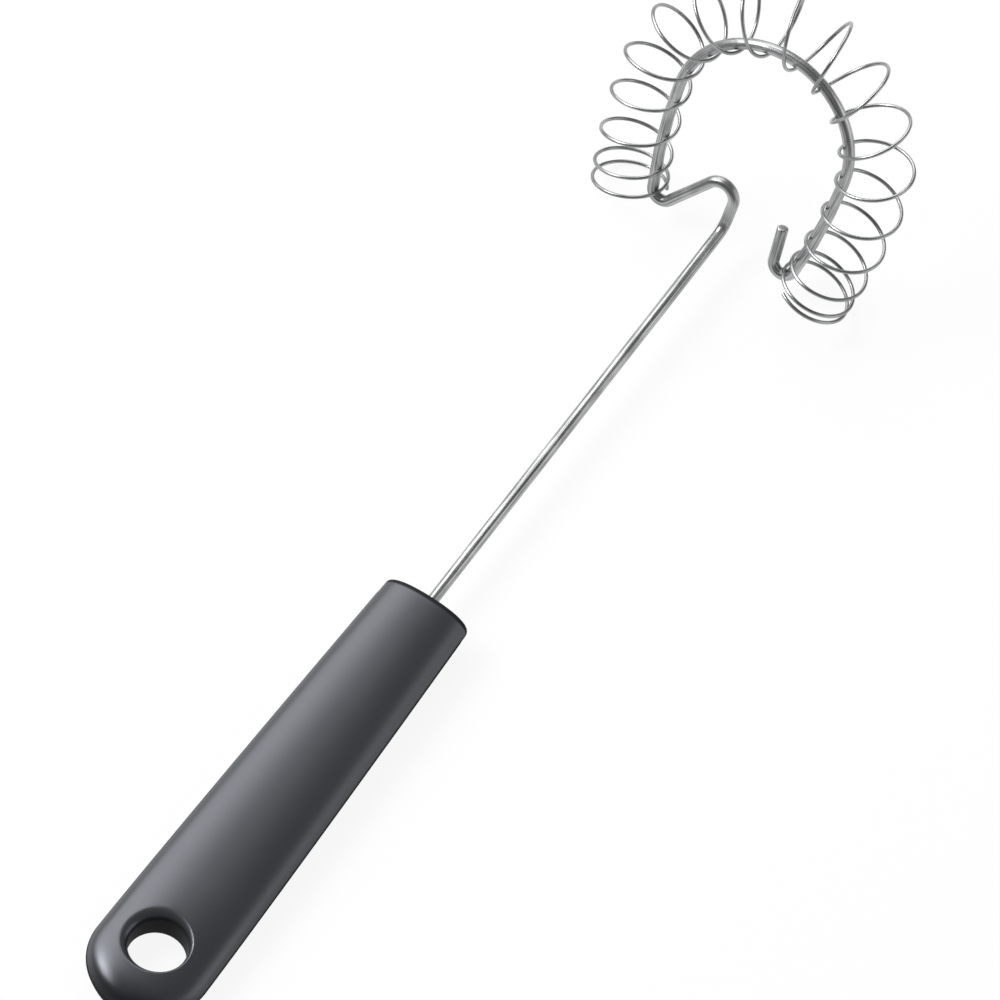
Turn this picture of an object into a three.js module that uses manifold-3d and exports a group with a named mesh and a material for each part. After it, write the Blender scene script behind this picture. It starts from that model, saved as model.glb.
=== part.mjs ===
// Spiral whisk for sauces and froth: a moulded handle, one bent steel wire, and a coil threaded on its bow.
// Millimetres, +Z up. The handle lies along X on a flat land in the plane Z = 0, with its mouth towards +X.
// The origin is the middle of that land. The bow stands up out of the handle's plane, symmetric about Y = 0.
import * as THREE from 'three';
import { mergeVertices } from 'three/addons/utils/BufferGeometryUtils.js';
import Module from 'manifold-3d';

// Handle: an oval bar that widens towards a round butt with a hang hole. Its depths are measured above and
// under the line where the two halves of its mould meet, which the wire follows.
const HANDLE_LENGTH = 115.8;
const MOUTH_WIDTH = 20.1;
const MOUTH_TOP_DEPTH = 4.9;
const MOUTH_UNDER_DEPTH = 6.2;
const BUTT_WIDTH = 26.4;
const BUTT_TOP_DEPTH = 4.6;
const BUTT_UNDER_DEPTH = 4.6;
const TAPER_EASE = 1.22;
const SECTION_POWER = 2.2;
const MOUTH_EDGE_RADIUS = 0.8;
const BUTT_EDGE_POWER = 4;
const LAND_CUT = 0.35;
const HANG_HOLE_DIAMETER = 12.4;
const HANG_HOLE_FROM_BUTT = 15.6;
const HANG_HOLE_RIM_RADIUS = 2.4;

// Main wire: a tang in the handle, a straight stem, a fold, a hairpin, a foot, the bow and a hook
const WIRE_DIAMETER = 2.5;
const TANG_LENGTH = 62;
const SPADE_LENGTH = 9;
const SPADE_NECK_LENGTH = 4;
const SPADE_WIDTH = 4.4;
const SPADE_THICKNESS = 1.3;
const STEM_LENGTH = 110.9;
const FOLD_DEGREES = 64.8;
const FOLD_RADIUS = 4;
const HAIRPIN_RADIUS = 3.45;
const HAIRPIN_HEIGHT = 6.6;
const FOOT_RADIUS = 2.45;
const LEG_RADIUS = 126.4;
const LEG_END_HEIGHT = -0.25;
const ARCH_RADIUS = 20.4;
const ARCH_HEIGHT = 26.65;
const HOOK_LEAN_DEGREES = 5;
const HOOK_LENGTH = 8.3;

// Coil: thin wire wound in even turns, sprung outwards against the bow. Its turns close up over the ease
// turns at the foot and, more tightly, at the hook, and both ends run a little past the bow's legs.
const COIL_WIRE_DIAMETER = 0.8;
const COIL_MEAN_RADIUS = 8;
const COIL_TURNS = 17.78;
const COIL_START_TURN = 0.56;
const COIL_AXIS_OFFSET = 5.94;
const COIL_FOOT_PITCH = 1.6;
const COIL_FOOT_EASE_TURNS = 2.91;
const COIL_FOOT_OVERRUN = 2.24;
const COIL_HOOK_PITCH = 1;
const COIL_HOOK_EASE_TURNS = 3.6;
const COIL_HOOK_OVERRUN = 1.65;

// Clearances, and how far a cutting shape runs past the face that it opens
const TANG_CLEARANCE = 0.3;
const COIL_CLEARANCE = 0.3;
const CUT_OVERRUN = 1;

// Facets. Points nearer than the merge distance are one corner, and stations nearer than the least
// spacing are one station.
const MERGE_DISTANCE = 1e-4;
const LEAST_STATION_SPACING = 0.125;
const HANDLE_SIDES = 40;
const HANDLE_STATION_SPACING = 9;
const EDGE_STEPS = 4;
const BUTT_STEPS = 9;
const HOLE_SIDES = 36;
const RIM_STEPS = 4;
const WIRE_SIDES = 12;
const BEND_STEP_DEGREES = 18;
const ARCH_STEP_DEGREES = 7.5;
const LEG_STEPS = 3;
const COIL_STEPS_PER_TURN = 24;
const COIL_SIDES = 6;
const GAP_STEPS_PER_TURN = 72;

const wasm = await Module();
wasm.setup();

const { clamp, degToRad, lerp } = THREE.MathUtils;
const WIRE_RADIUS = WIRE_DIAMETER / 2;
const COIL_WIRE_RADIUS = COIL_WIRE_DIAMETER / 2;
const BUTT_RADIUS = BUTT_WIDTH / 2;
const MOUTH_X = HANDLE_LENGTH / 2;
const BUTT_X = -HANDLE_LENGTH / 2;
const STEM_HEIGHT = MOUTH_UNDER_DEPTH - LAND_CUT;

// The handle thins towards the butt and lies flat, so its mould line climbs to the mouth, and so does
// the wire
const stemRise = Math.atan2(MOUTH_UNDER_DEPTH - BUTT_UNDER_DEPTH, HANDLE_LENGTH - BUTT_RADIUS);
const alongStem = new THREE.Vector3(Math.cos(stemRise), 0, Math.sin(stemRise));
const aboveStem = new THREE.Vector3(-Math.sin(stemRise), 0, Math.cos(stemRise));

function onStem(fromMouth) {
  return new THREE.Vector3(MOUTH_X, 0, STEM_HEIGHT).addScaledVector(alongStem, fromMouth);
}

const plasticMaterial = new THREE.MeshStandardMaterial({ color: 0x3c3d42, roughness: 0.5, metalness: 0 });
const wireMaterial = new THREE.MeshStandardMaterial({ color: 0xb9bbbd, roughness: 0.25, metalness: 1 });
const coilMaterial = new THREE.MeshStandardMaterial({ color: 0xc6c8ca, roughness: 0.22, metalness: 1 });

// A closed geometry from rings of points that share one count, closed at both ends by a point
function loftRings(rings, startPoint, endPoint) {
  const sides = rings[0].length;
  const points = [startPoint, ...rings.flat(), endPoint];
  const last = points.length - 1;
  const index = [];
  const corner = (ring, side) => 1 + ring * sides + (side % sides);
  for (let side = 0; side < sides; side += 1) {
    index.push(0, corner(0, side + 1), corner(0, side));
    index.push(last, corner(rings.length - 1, side), corner(rings.length - 1, side + 1));
    for (let ring = 0; ring + 1 < rings.length; ring += 1) {
      const a = corner(ring, side);
      const b = corner(ring, side + 1);
      const c = corner(ring + 1, side + 1);
      const d = corner(ring + 1, side);
      index.push(a, b, c, a, c, d);
    }
  }
  const geometry = new THREE.BufferGeometry();
  geometry.setAttribute('position', new THREE.Float32BufferAttribute(points.flatMap((p) => p.toArray()), 3));
  geometry.setIndex(index);
  return geometry;
}

function toSolid(geometry) {
  const bare = geometry.clone();
  bare.deleteAttribute('normal');
  bare.deleteAttribute('uv');
  const merged = mergeVertices(bare, MERGE_DISTANCE);
  const vertProperties = new Float32Array(merged.attributes.position.array);
  const triVerts = new Uint32Array(merged.index.array);
  return new wasm.Manifold(new wasm.Mesh({ numProp: 3, vertProperties, triVerts }));
}

function toGeometry(solid) {
  const mesh = solid.getMesh();
  const geometry = new THREE.BufferGeometry();
  geometry.setAttribute('position', new THREE.BufferAttribute(mesh.vertProperties, mesh.numProp));
  geometry.setIndex(new THREE.BufferAttribute(mesh.triVerts, 1));
  geometry.computeVertexNormals();
  return geometry;
}

// A tube through stations, each with a centre, two unit axes across it and a half size along each axis
function tubeRings(stations, sides) {
  return stations.map(({ centre, across, up, halfAcross, halfUp }) => {
    const ring = [];
    for (let side = 0; side < sides; side += 1) {
      const angle = (2 * Math.PI * side) / sides;
      const point = centre.clone();
      point.addScaledVector(across, halfAcross * Math.cos(angle));
      point.addScaledVector(up, halfUp * Math.sin(angle));
      ring.push(point);
    }
    return ring;
  });
}

function tubeGeometry(stations, sides) {
  return loftRings(tubeRings(stations, sides), stations[0].centre, stations.at(-1).centre);
}

// The handle's oval at a distance behind the mouth: half its width, its depths above and under the mould
// line, and the height of that line
function handleSection(fromMouth) {
  const taper = clamp(fromMouth / (HANDLE_LENGTH - BUTT_RADIUS), 0, 1);
  const topDepth = lerp(MOUTH_TOP_DEPTH, BUTT_TOP_DEPTH, taper);
  const underDepth = lerp(MOUTH_UNDER_DEPTH, BUTT_UNDER_DEPTH, taper);
  const width = lerp(MOUTH_WIDTH, BUTT_WIDTH, 1 - (1 - taper) ** TAPER_EASE);
  const intoButt = clamp(1 - (HANDLE_LENGTH - fromMouth) / BUTT_RADIUS, 0, 1);
  const fromEdge = MOUTH_EDGE_RADIUS - Math.min(fromMouth, MOUTH_EDGE_RADIUS);
  const inset = MOUTH_EDGE_RADIUS - Math.sqrt(MOUTH_EDGE_RADIUS ** 2 - fromEdge ** 2);
  const buttShare = (1 - intoButt ** BUTT_EDGE_POWER) ** (1 / BUTT_EDGE_POWER);
  return {
    halfWidth: (width / 2) * Math.sqrt(1 - intoButt ** 2) - inset,
    topDepth: topDepth * buttShare - inset,
    underDepth: underDepth * buttShare - inset,
    mouldLine: underDepth - LAND_CUT,
  };
}

function handleRing(fromMouth) {
  const { halfWidth, topDepth, underDepth, mouldLine } = handleSection(fromMouth);
  const power = 2 / SECTION_POWER;
  const ring = [];
  for (let side = 0; side < HANDLE_SIDES; side += 1) {
    const angle = (-2 * Math.PI * side) / HANDLE_SIDES;
    const y = halfWidth * Math.sign(Math.cos(angle)) * Math.abs(Math.cos(angle)) ** power;
    const depth = Math.sin(angle) > 0 ? topDepth : underDepth;
    const z = depth * Math.sign(Math.sin(angle)) * Math.abs(Math.sin(angle)) ** power;
    ring.push(new THREE.Vector3(MOUTH_X - fromMouth, y, mouldLine + z));
  }
  return ring;
}

// The handle's outside, from the flat mouth over its rounded edge and along the taper to the round butt
function handleBody() {
  const distances = [];
  for (let step = 0; step < EDGE_STEPS; step += 1) {
    distances.push(MOUTH_EDGE_RADIUS * (1 - Math.cos((step / EDGE_STEPS) * (Math.PI / 2))));
  }
  const buttStart = HANDLE_LENGTH - BUTT_RADIUS;
  const bodySteps = Math.ceil((buttStart - MOUTH_EDGE_RADIUS) / HANDLE_STATION_SPACING);
  for (let step = 0; step < bodySteps; step += 1) {
    distances.push(lerp(MOUTH_EDGE_RADIUS, buttStart, step / bodySteps));
  }
  for (let step = 0; step < BUTT_STEPS; step += 1) {
    distances.push(buttStart + BUTT_RADIUS * Math.sin((step / BUTT_STEPS) * (Math.PI / 2)));
  }
  const mouthCentre = new THREE.Vector3(MOUTH_X, 0, handleSection(0).mouldLine);
  const buttTip = new THREE.Vector3(BUTT_X, 0, handleSection(HANDLE_LENGTH).mouldLine);
  return toSolid(loftRings(distances.map(handleRing), mouthCentre, buttTip));
}

// Everything below the land's plane
function landCut() {
  const length = HANDLE_LENGTH + 2 * CUT_OVERRUN;
  const slab = new THREE.BoxGeometry(length, BUTT_WIDTH + 2 * CUT_OVERRUN, MOUTH_UNDER_DEPTH);
  slab.translate(0, 0, -MOUTH_UNDER_DEPTH / 2);
  return toSolid(slab);
}

// The hang hole: a round bore that opens out over a rounded rim at the top face and at the land
function hangHole() {
  const centreX = BUTT_X + HANG_HOLE_FROM_BUTT;
  const { topDepth, mouldLine } = handleSection(HANDLE_LENGTH - HANG_HOLE_FROM_BUTT);
  const bore = HANG_HOLE_DIAMETER / 2;
  const rim = HANG_HOLE_RIM_RADIUS;
  const topFace = mouldLine + topDepth;
  const profile = [new THREE.Vector2(0, -CUT_OVERRUN)];
  const flare = (height, sign, from, to) => {
    for (let step = 0; step <= RIM_STEPS; step += 1) {
      const angle = lerp(from, to, step / RIM_STEPS);
      const radius = bore + rim * (1 - Math.cos(angle));
      profile.push(new THREE.Vector2(radius, height - sign * rim * (1 - Math.sin(angle))));
    }
  };
  profile.push(new THREE.Vector2(bore + rim, -CUT_OVERRUN));
  flare(0, -1, Math.PI / 2, 0);
  flare(topFace, 1, 0, Math.PI / 2);
  profile.push(new THREE.Vector2(bore + rim, topFace + CUT_OVERRUN));
  profile.push(new THREE.Vector2(0, topFace + CUT_OVERRUN));
  const tool = new THREE.LatheGeometry(profile, HOLE_SIDES);
  tool.rotateX(Math.PI / 2);
  tool.translate(centreX, 0, 0);
  return toSolid(tool);
}

// The wire inside the handle: round, then necked out to a flat spade that can neither turn nor pull out.
// The same stations, grown by a clearance and run past the mouth, are the pocket that the plastic leaves.
function tangStations(clearance, overrun) {
  const neckEnd = SPADE_LENGTH + SPADE_NECK_LENGTH - TANG_LENGTH;
  const places = [
    { fromMouth: -TANG_LENGTH - clearance, width: SPADE_WIDTH, thickness: SPADE_THICKNESS },
    { fromMouth: SPADE_LENGTH - TANG_LENGTH, width: SPADE_WIDTH, thickness: SPADE_THICKNESS },
    { fromMouth: neckEnd, width: WIRE_DIAMETER, thickness: WIRE_DIAMETER },
    { fromMouth: overrun, width: WIRE_DIAMETER, thickness: WIRE_DIAMETER },
  ];
  return places.map(({ fromMouth, width, thickness }) => ({
    centre: onStem(fromMouth),
    across: new THREE.Vector3(0, 1, 0),
    up: aboveStem,
    halfAcross: width / 2 + clearance,
    halfUp: thickness / 2 + clearance,
  }));
}

function makeHandle() {
  const pocket = toSolid(tubeGeometry(tangStations(TANG_CLEARANCE, CUT_OVERRUN), WIRE_SIDES));
  const solid = handleBody().subtract(landCut()).subtract(hangHole()).subtract(pocket);
  const handle = new THREE.Mesh(toGeometry(solid), plasticMaterial);
  handle.name = 'handle';
  return handle;
}

// The head's plane: it starts at the fold, Y lies across it, rise climbs it and face is its normal
const foldAngle = degToRad(FOLD_DEGREES);
const headAngle = stemRise + foldAngle;
const foldPoint = onStem(STEM_LENGTH);
const rise = new THREE.Vector3(Math.cos(headAngle), 0, Math.sin(headAngle));
const face = new THREE.Vector3(-Math.sin(headAngle), 0, Math.cos(headAngle));

function inHead(y, height, lift) {
  const point = foldPoint.clone();
  point.y += y;
  point.addScaledVector(rise, height);
  return point.addScaledVector(face, lift);
}

// The bow's legs are long arcs that meet the arch at its diameter and lean in towards the feet
const legAngle = Math.asin((ARCH_HEIGHT - LEG_END_HEIGHT) / LEG_RADIUS);
const footCentreY = ARCH_RADIUS - LEG_RADIUS + (LEG_RADIUS - FOOT_RADIUS) * Math.cos(legAngle);
const footCentreHeight = ARCH_HEIGHT - (LEG_RADIUS - FOOT_RADIUS) * Math.sin(legAngle);

// The run from the hairpin to the foot is the inner tangent of their two circles
const footFromHairpinY = footCentreY - HAIRPIN_RADIUS;
const footFromHairpinHeight = footCentreHeight - HAIRPIN_HEIGHT;
const footDistance = Math.hypot(footFromHairpinY, footFromHairpinHeight);
const runHeading = Math.atan2(footFromHairpinHeight, footFromHairpinY)
  - Math.asin((HAIRPIN_RADIUS + FOOT_RADIUS) / footDistance);

// Arcs of the head in the order that the wire is bent, with straight runs between those that don't meet
function headArcs() {
  const bend = (y, height, radius, from, to) => {
    const steps = Math.ceil(Math.abs(to - from) / degToRad(BEND_STEP_DEGREES));
    return { y, height, radius, from, to, steps };
  };
  const hookEnd = 2 * Math.PI - degToRad(HOOK_LEAN_DEGREES);
  const leftLeg = { y: ARCH_RADIUS - LEG_RADIUS, height: ARCH_HEIGHT, radius: LEG_RADIUS, steps: LEG_STEPS };
  const rightLeg = { ...leftLeg, y: LEG_RADIUS - ARCH_RADIUS };
  const arch = { y: 0, height: ARCH_HEIGHT, radius: ARCH_RADIUS, steps: Math.ceil(180 / ARCH_STEP_DEGREES) };
  return [
    bend(HAIRPIN_RADIUS, HAIRPIN_HEIGHT, HAIRPIN_RADIUS, Math.PI, runHeading + Math.PI / 2),
    bend(footCentreY, footCentreHeight, FOOT_RADIUS, runHeading - Math.PI / 2, -legAngle),
    { ...leftLeg, from: -legAngle, to: 0 },
    { ...arch, from: 0, to: Math.PI },
    { ...rightLeg, from: Math.PI, to: Math.PI + legAngle },
    bend(-footCentreY, footCentreHeight, FOOT_RADIUS, Math.PI + legAngle, hookEnd),
  ];
}

function wireStation(centre, across, up) {
  return { centre, across, up, halfAcross: WIRE_RADIUS, halfUp: WIRE_RADIUS };
}

// The fold turns the stem up into the head's plane
function foldStations() {
  const stations = [];
  const tangentLength = FOLD_RADIUS * Math.tan(foldAngle / 2);
  const steps = Math.ceil(FOLD_DEGREES / BEND_STEP_DEGREES);
  for (let step = 0; step <= steps; step += 1) {
    const angle = (foldAngle * step) / steps;
    const centre = onStem(STEM_LENGTH - tangentLength + FOLD_RADIUS * Math.sin(angle));
    centre.addScaledVector(aboveStem, FOLD_RADIUS * (1 - Math.cos(angle)));
    const up = new THREE.Vector3(-Math.sin(stemRise + angle), 0, Math.cos(stemRise + angle));
    stations.push(wireStation(centre, new THREE.Vector3(0, 1, 0), up));
  }
  return stations;
}

function headStations() {
  const stations = [];
  for (const arc of headArcs()) {
    for (let step = 0; step <= arc.steps; step += 1) {
      const angle = lerp(arc.from, arc.to, step / arc.steps);
      const turn = Math.sign(arc.to - arc.from);
      const centre = inHead(
        arc.y + arc.radius * Math.cos(angle),
        arc.height + arc.radius * Math.sin(angle),
        0,
      );
      const outward = new THREE.Vector3(0, Math.cos(angle), 0).addScaledVector(rise, Math.sin(angle));
      const across = outward.multiplyScalar(turn);
      if (stations.length === 0 || centre.distanceTo(stations.at(-1).centre) > LEAST_STATION_SPACING) {
        stations.push(wireStation(centre, across, face.clone()));
      }
    }
  }
  const bendEnd = stations.at(-1);
  const heading = bendEnd.across.clone().cross(bendEnd.up);
  const tip = bendEnd.centre.clone().addScaledVector(heading, HOOK_LENGTH);
  stations.push(wireStation(tip, bendEnd.across, bendEnd.up));
  return stations;
}

function makeWireFrame() {
  const stations = [...tangStations(0, 0), ...foldStations(), ...headStations()];
  const frame = new THREE.Mesh(tubeGeometry(stations, WIRE_SIDES), wireMaterial);
  frame.geometry.computeVertexNormals();
  frame.name = 'wire_frame';
  return frame;
}

// The coil's axis runs outside the bow at an even distance. The turns hang on the bow's far face by their
// own weight, so the axis lies below the bow's plane by what the bore leaves round the wire.
const boreReach = COIL_MEAN_RADIUS - COIL_WIRE_RADIUS - WIRE_RADIUS - COIL_CLEARANCE;
const coilDrop = Math.sqrt(boreReach ** 2 - COIL_AXIS_OFFSET ** 2);
const coilLegLength = (LEG_RADIUS + COIL_AXIS_OFFSET) * legAngle;
const coilArchLength = (ARCH_RADIUS + COIL_AXIS_OFFSET) * Math.PI;
const coilLength = 2 * coilLegLength + coilArchLength + COIL_FOOT_OVERRUN + COIL_HOOK_OVERRUN;
const closedLength = (COIL_FOOT_PITCH * COIL_FOOT_EASE_TURNS + COIL_HOOK_PITCH * COIL_HOOK_EASE_TURNS) / 2;
const openTurns = COIL_TURNS - (COIL_FOOT_EASE_TURNS + COIL_HOOK_EASE_TURNS) / 2;
const coilOpenPitch = (coilLength - closedLength) / openTurns;

// Length along the axis after some turns from an end, whose pitch eases from the end pitch to the open one
function lengthFromEnd(turns, endPitch, easeTurns) {
  const eased = Math.min(turns / easeTurns, 1);
  const easedTurns = easeTurns * (eased ** 3 - eased ** 4 / 2) + Math.max(turns - easeTurns, 0);
  return endPitch * turns + (coilOpenPitch - endPitch) * easedTurns;
}

// Length along the axis from the bow's end at the foot
function lengthAtTurn(turns) {
  if (turns < COIL_TURNS / 2) {
    return lengthFromEnd(turns, COIL_FOOT_PITCH, COIL_FOOT_EASE_TURNS) - COIL_FOOT_OVERRUN;
  }
  const fromHook = lengthFromEnd(COIL_TURNS - turns, COIL_HOOK_PITCH, COIL_HOOK_EASE_TURNS);
  return coilLength - fromHook - COIL_FOOT_OVERRUN;
}

// A point on the coil's wire, with the unit vector that points to it from the coil's axis
function coilPoint(turns) {
  const length = lengthAtTurn(turns);
  const pastArch = length - coilLegLength - coilArchLength;
  let angle = -legAngle + length / (LEG_RADIUS + COIL_AXIS_OFFSET);
  let centreY = ARCH_RADIUS - LEG_RADIUS;
  let radius = LEG_RADIUS;
  if (pastArch > 0) {
    angle = Math.PI + pastArch / (LEG_RADIUS + COIL_AXIS_OFFSET);
    centreY = LEG_RADIUS - ARCH_RADIUS;
  } else if (length > coilLegLength) {
    angle = (length - coilLegLength) / (ARCH_RADIUS + COIL_AXIS_OFFSET);
    centreY = 0;
    radius = ARCH_RADIUS;
  }
  const wound = 2 * Math.PI * (turns + COIL_START_TURN);
  const reach = radius + COIL_AXIS_OFFSET + COIL_MEAN_RADIUS * Math.cos(wound);
  const point = inHead(
    centreY + reach * Math.cos(angle),
    ARCH_HEIGHT + reach * Math.sin(angle),
    COIL_MEAN_RADIUS * Math.sin(wound) - coilDrop,
  );
  const spoke = new THREE.Vector3(0, Math.cos(angle), 0).addScaledVector(rise, Math.sin(angle));
  spoke.multiplyScalar(Math.cos(wound)).addScaledVector(face, Math.sin(wound));
  return { point, spoke };
}

function coilStations() {
  const steps = Math.round(COIL_TURNS * COIL_STEPS_PER_TURN);
  const halfStep = COIL_TURNS / steps / 2;
  const stations = [];
  for (let step = 0; step <= steps; step += 1) {
    const turns = (COIL_TURNS * step) / steps;
    const { point, spoke } = coilPoint(turns);
    const ahead = coilPoint(Math.min(turns + halfStep, COIL_TURNS)).point;
    const behind = coilPoint(Math.max(turns - halfStep, 0)).point;
    const heading = ahead.sub(behind).normalize();
    const across = heading.clone().cross(spoke).normalize();
    const up = heading.clone().cross(across).normalize();
    stations.push({
      centre: point,
      across,
      up,
      halfAcross: COIL_WIRE_RADIUS,
      halfUp: COIL_WIRE_RADIUS,
    });
  }
  return stations;
}

// Least clear space between the coil's wire and its own other turns, measured on points along it
function coilSelfGap() {
  const count = Math.round(COIL_TURNS * GAP_STEPS_PER_TURN);
  const points = [];
  for (let step = 0; step <= count; step += 1) {
    points.push(coilPoint((COIL_TURNS * step) / count).point);
  }
  let least = Infinity;
  for (let first = 0; first < points.length; first += 1) {
    for (let second = first + GAP_STEPS_PER_TURN / 2; second < points.length; second += 1) {
      least = Math.min(least, points[first].distanceTo(points[second]));
    }
  }
  return least - COIL_WIRE_DIAMETER;
}

function makeCoil() {
  const coil = new THREE.Mesh(tubeGeometry(coilStations(), COIL_SIDES), coilMaterial);
  coil.geometry.computeVertexNormals();
  coil.name = 'whisk_coil';
  return coil;
}

console.log(`least gap of the coil to itself: ${coilSelfGap().toFixed(2)} mm`);

const whisk = new THREE.Group();
whisk.add(makeHandle(), makeWireFrame(), makeCoil());

export default whisk;
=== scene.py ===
import math

import bmesh
import bpy
from mathutils import Matrix, Vector


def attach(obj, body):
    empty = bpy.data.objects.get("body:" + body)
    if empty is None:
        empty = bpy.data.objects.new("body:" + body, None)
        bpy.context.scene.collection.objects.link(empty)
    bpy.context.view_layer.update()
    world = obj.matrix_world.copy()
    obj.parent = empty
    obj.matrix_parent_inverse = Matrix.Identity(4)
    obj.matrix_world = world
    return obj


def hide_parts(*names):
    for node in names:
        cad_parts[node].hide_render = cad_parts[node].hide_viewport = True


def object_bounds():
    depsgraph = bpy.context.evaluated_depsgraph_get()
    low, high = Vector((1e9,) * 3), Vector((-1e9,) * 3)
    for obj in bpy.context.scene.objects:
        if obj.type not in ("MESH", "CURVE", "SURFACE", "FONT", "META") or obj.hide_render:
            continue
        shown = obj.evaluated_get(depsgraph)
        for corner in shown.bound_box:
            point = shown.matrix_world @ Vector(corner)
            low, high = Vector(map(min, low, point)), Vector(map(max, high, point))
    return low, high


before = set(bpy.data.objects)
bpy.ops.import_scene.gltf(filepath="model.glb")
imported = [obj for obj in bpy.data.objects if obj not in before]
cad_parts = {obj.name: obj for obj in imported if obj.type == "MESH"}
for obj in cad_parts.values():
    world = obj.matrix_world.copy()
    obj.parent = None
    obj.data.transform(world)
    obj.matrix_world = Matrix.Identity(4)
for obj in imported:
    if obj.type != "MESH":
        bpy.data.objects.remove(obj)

cad_low, cad_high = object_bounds()


# The handle: one charcoal plastic moulding, an oval bar that widens from a flat mouth to a round butt.
# It is drawn here section by section from the mouth. The two halves of its mould meet about half way up
# and leave a fine ridge all round. A flat land underneath lets it lie still.
MM = 0.001
HANDLE_LENGTH = 115.8 * MM
MOUTH_WIDTH = 20.1 * MM
MOUTH_TOP_DEPTH = 4.9 * MM
MOUTH_UNDER_DEPTH = 6.2 * MM
BUTT_WIDTH = 26.4 * MM
BUTT_TOP_DEPTH = 4.6 * MM
BUTT_UNDER_DEPTH = 4.6 * MM
TAPER_EASE = 1.22
SECTION_POWER = 2.2
MOUTH_EDGE_RADIUS = 0.8 * MM
BUTT_EDGE_POWER = 4
LAND_CUT = 0.35 * MM
MOUTH_X = HANDLE_LENGTH / 2
BUTT_X = -HANDLE_LENGTH / 2
BUTT_RADIUS = BUTT_WIDTH / 2
HANDLE_SIDES = 128
MOUTH_STATIONS = 8
BODY_STATIONS = 70
BUTT_STATIONS = 26
WITNESS_HALF_WIDTH = 0.22 * MM
WITNESS_HEIGHT = 0.2 * MM
WITNESS_START = 2.5 * MM
WITNESS_SEGMENTS = 2
ROUND_PROFILE = 0.5
NEAR = 0.02 * MM
CUT_THRESHOLD = 0.0001 * MM


def between(start, end, share):
    return start + (end - start) * share


def handle_section(from_mouth):
    """Half width, depths above and under the mould line, and that line's height, behind the mouth."""
    from_mouth = min(max(from_mouth, 0), HANDLE_LENGTH)
    taper = min(from_mouth / (HANDLE_LENGTH - BUTT_RADIUS), 1)
    top = between(MOUTH_TOP_DEPTH, BUTT_TOP_DEPTH, taper)
    under = between(MOUTH_UNDER_DEPTH, BUTT_UNDER_DEPTH, taper)
    width = between(MOUTH_WIDTH, BUTT_WIDTH, 1 - (1 - taper) ** TAPER_EASE)
    into_butt = max(1 - (HANDLE_LENGTH - from_mouth) / BUTT_RADIUS, 0)
    from_edge = MOUTH_EDGE_RADIUS - min(from_mouth, MOUTH_EDGE_RADIUS)
    inset = MOUTH_EDGE_RADIUS - math.sqrt(MOUTH_EDGE_RADIUS ** 2 - from_edge ** 2)
    half_width = width / 2 * math.sqrt(1 - into_butt ** 2) - inset
    butt_share = (1 - into_butt ** BUTT_EDGE_POWER) ** (1 / BUTT_EDGE_POWER)
    return half_width, top * butt_share - inset, under * butt_share - inset, under - LAND_CUT


def name_piece(name):
    piece = bpy.context.object
    piece.name = name
    piece.data.name = name
    return piece


def select_in_edit(piece, kind, test):
    """Selects the vertices, edges or faces of a piece in edit mode that pass a test, and no others."""
    bpy.ops.mesh.select_mode(type=kind)
    bpy.ops.mesh.select_all(action="DESELECT")
    mesh = bmesh.from_edit_mesh(piece.data)
    items = {"VERT": mesh.verts, "EDGE": mesh.edges, "FACE": mesh.faces}[kind]
    for item in items:
        item.select_set(test(item))
    bmesh.update_edit_mesh(piece.data)


bpy.ops.object.select_all(action="DESELECT")
bpy.ops.mesh.primitive_circle_add(
    vertices=HANDLE_SIDES, radius=1, fill_type="NGON", rotation=(0, math.pi / 2, 0)
)
handle = name_piece("handle_moulding")
bpy.ops.object.transform_apply(location=True, rotation=True, scale=True)
half_width, top_depth, _, mould_line = handle_section(0)
for vertex in handle.data.vertices:
    across = math.copysign(abs(vertex.co.y) ** (2 / SECTION_POWER), vertex.co.y)
    upward = math.copysign(abs(vertex.co.z) ** (2 / SECTION_POWER), vertex.co.z)
    vertex.co = (MOUTH_X, half_width * across, mould_line + top_depth * upward)

butt_start = HANDLE_LENGTH - BUTT_RADIUS
stations = []
for step in range(1, MOUTH_STATIONS + 1):
    stations.append(MOUTH_EDGE_RADIUS * (1 - math.cos(step / MOUTH_STATIONS * math.pi / 2)))
for step in range(1, BODY_STATIONS + 1):
    stations.append(between(MOUTH_EDGE_RADIUS, butt_start, step / BODY_STATIONS))
for step in range(1, BUTT_STATIONS):
    stations.append(butt_start + BUTT_RADIUS * math.sin(step / BUTT_STATIONS * math.pi / 2))

bpy.ops.object.mode_set(mode="EDIT")
bpy.ops.mesh.select_all(action="SELECT")
last_station = 0
for station in stations:
    next_width, next_depth, _, next_line = handle_section(station)
    shift = (last_station - station, 0, next_line - mould_line)
    bpy.ops.mesh.extrude_region_move(TRANSFORM_OT_translate={"value": shift})
    bpy.ops.transform.resize(
        value=(1, next_width / half_width, next_depth / top_depth),
        center_override=(MOUTH_X - station, 0, next_line),
    )
    half_width, top_depth, mould_line, last_station = next_width, next_depth, next_line, station
bpy.ops.object.mode_set(mode="OBJECT")
for vertex in handle.data.vertices:
    _, top_depth, under_depth, mould_line = handle_section(MOUTH_X - vertex.co.x)
    if vertex.co.z < mould_line:
        vertex.co.z = mould_line + (vertex.co.z - mould_line) * under_depth / top_depth
bpy.ops.object.mode_set(mode="EDIT")
bpy.ops.mesh.select_all(action="SELECT")
bpy.ops.mesh.normals_make_consistent(inside=False)
shorter = 1 - WITNESS_HEIGHT / HANDLE_LENGTH
bpy.ops.transform.resize(value=(shorter, 1, 1), center_override=(MOUTH_X, 0, 0))


def on_mould_line(vertex):
    _, _, _, height = handle_section(MOUTH_X - vertex.co.x)
    return vertex.co.x < MOUTH_X - WITNESS_START and abs(vertex.co.z - height) < NEAR


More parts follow.
